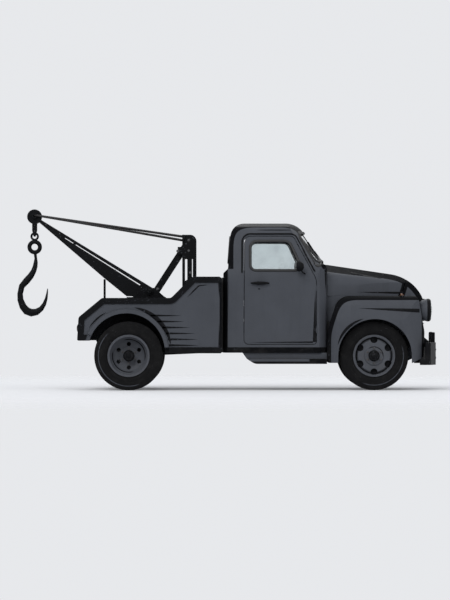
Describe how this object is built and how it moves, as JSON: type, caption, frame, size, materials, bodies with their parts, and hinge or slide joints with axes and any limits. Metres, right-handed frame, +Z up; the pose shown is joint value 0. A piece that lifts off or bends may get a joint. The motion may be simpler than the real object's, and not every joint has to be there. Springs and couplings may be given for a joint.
{
  "type": "tow truck",
  "caption": "Bonneted tow truck with cab, opening doors and hood, steered front wheels, dual rear wheels and a luffing boom with a hanging tow hook.",
  "frame": {"origin": "on the ground, in the middle of the whole truck's length and width, hook and bumper included", "axes": "+X forward along the truck, +Y to its left, +Z up"},
  "size_m": [5.5192, 2.102, 2.3789],
  "materials": {
    "body_paint": "satin slate-grey paint, worn at the edges",
    "black_paint": "satin black paint, worn",
    "splash_paint": "satin slate-grey paint",
    "frame_paint": "black chassis paint",
    "iron": "cast and painted",
    "exhaust_steel": "dull, heat-stained",
    "glass": "clear",
    "interior": "satin",
    "seat_vinyl": "black vinyl",
    "chrome": "bright, slightly dulled",
    "rim_paint": "satin slate paint with black hubs",
    "tyre": "black rubber",
    "hook_steel": "black, scuffed to steel"
  },
  "bodies": {
    "chassis": {"cab_shell": "body_paint", "nose_panel": "body_paint", "left_front_fender": "body_paint", "right_front_fender": "body_paint", "left_body_side": "body_paint", "right_body_side": "body_paint", "front_bumper": "black_paint", "running_boards": "black_paint", "body_side_rails": "black_paint", "mast": "black_paint", "mast_braces": "black_paint", "boom_bracket": "black_paint", "boom_rest": "black_paint", "tail_panel": "black_paint", "deck": "black_paint", "deck_sills": "black_paint", "splash_panels": "splash_paint", "frame_rails": "frame_paint", "frame_crossmembers": "frame_paint", "rear_axle": "frame_paint", "front_axle": "frame_paint", "leaf_springs": "frame_paint", "drive_shaft": "frame_paint", "engine": "iron", "winch": "iron", "radiator": "iron", "exhaust": "exhaust_steel", "cab_glass": "glass", "cab_floor": "interior", "dashboard": "interior", "steering_column": "interior", "bench_seat": "seat_vinyl", "headlights": "chrome"},
    "left_door": {"left_door": "body_paint", "left_door_glass": "glass", "left_mirror": "chrome"},
    "right_door": {"right_door": "body_paint", "right_door_glass": "glass", "right_mirror": "chrome"},
    "hood": {"hood": "body_paint"},
    "steering_wheel": {"steering_wheel": "interior"},
    "left_knuckle": {"left_steering_knuckle": "frame_paint"},
    "right_knuckle": {"right_steering_knuckle": "frame_paint"},
    "tie_rod": {"tie_rod": "frame_paint"},
    "left_front_wheel": {"left_front_rim": "rim_paint", "left_front_tyre": "tyre"},
    "right_front_wheel": {"right_front_rim": "rim_paint", "right_front_tyre": "tyre"},
    "left_rear_wheels": {"left_rear_rims": "rim_paint", "left_rear_tyres": "tyre"},
    "right_rear_wheels": {"right_rear_rims": "rim_paint", "right_rear_tyres": "tyre"},
    "boom": {"boom": "black_paint", "boom_sheave": "hook_steel"},
    "stays": {"stay_cables": "hook_steel"},
    "tow_hook": {"hook_yoke": "hook_steel", "hook": "hook_steel"}
  },
  "joints": [
    {"name": "left_steer", "type": "hinge", "parent": "chassis", "child": "left_knuckle", "pos_m": [1.93974, 0.68, 0.45], "axis": [0, 0, 1], "range_deg": [-28, 28]},
    {"name": "right_steer", "type": "hinge", "parent": "chassis", "child": "right_knuckle", "pos_m": [1.93974, -0.68, 0.45], "axis": [0, 0, 1], "range_deg": [-28, 28]},
    {"name": "tie_rod_pivot", "type": "hinge", "parent": "left_knuckle", "child": "tie_rod", "pos_m": [1.75974, 0.68, 0.348], "axis": [0, 0, 1], "range_deg": [-28, 28]},
    {"name": "steering_wheel_turn", "type": "hinge", "parent": "chassis", "child": "steering_wheel", "pos_m": [0.76474, 0.38, 1.44], "axis": [-0.6492, 0, 0.7606], "range_deg": [-448, 448]},
    {"name": "left_front_spin", "type": "hinge", "parent": "left_knuckle", "child": "left_front_wheel", "pos_m": [1.93974, 0.77, 0.45], "axis": [0, 1, 0], "continuous": true},
    {"name": "right_front_spin", "type": "hinge", "parent": "right_knuckle", "child": "right_front_wheel", "pos_m": [1.93974, -0.77, 0.45], "axis": [0, 1, 0], "continuous": true},
    {"name": "left_rear_spin", "type": "hinge", "parent": "chassis", "child": "left_rear_wheels", "pos_m": [-1.26526, 0.767, 0.45], "axis": [0, 1, 0], "continuous": true},
    {"name": "right_rear_spin", "type": "hinge", "parent": "chassis", "child": "right_rear_wheels", "pos_m": [-1.26526, -0.767, 0.45], "axis": [0, 1, 0], "continuous": true},
    {"name": "left_door_swing", "type": "hinge", "parent": "chassis", "child": "left_door", "pos_m": [1.18774, 0.883, 1.1], "axis": [0, 0, -1], "range_deg": [0, 65]},
    {"name": "right_door_swing", "type": "hinge", "parent": "chassis", "child": "right_door", "pos_m": [1.18774, -0.883, 1.1], "axis": [0, 0, 1], "range_deg": [0, 65]},
    {"name": "hood_lift", "type": "hinge", "parent": "chassis", "child": "hood", "pos_m": [1.32674, 0, 1.643], "axis": [0, -1, 0], "range_deg": [0, 45]},
    {"name": "boom_luff", "type": "hinge", "parent": "chassis", "child": "boom", "pos_m": [-1.00326, 0, 1.29], "axis": [0, 1, 0], "range_deg": [0, 25]},
    {"name": "stay_swing", "type": "hinge", "parent": "chassis", "child": "stays", "pos_m": [-0.55826, 0, 2.018], "axis": [0, 1, 0], "range_deg": [0, 22.5], "deforming": ["stay_cables"]},
    {"name": "hook_swing", "type": "hinge", "parent": "boom", "child": "tow_hook", "pos_m": [-2.52964, 0, 2.28124], "axis": [0, 1, 0], "range_deg": [-30, 30]}
  ],
  "couplings": [
    {"joint": "right_steer", "follows": "left_steer", "ratio": 1},
    {"joint": "tie_rod_pivot", "follows": "left_steer", "ratio": -1},
    {"joint": "steering_wheel_turn", "follows": "left_steer", "ratio": 16},
    {"joint": "stay_swing", "follows": "boom_luff", "ratio": 0.9}
  ]
}
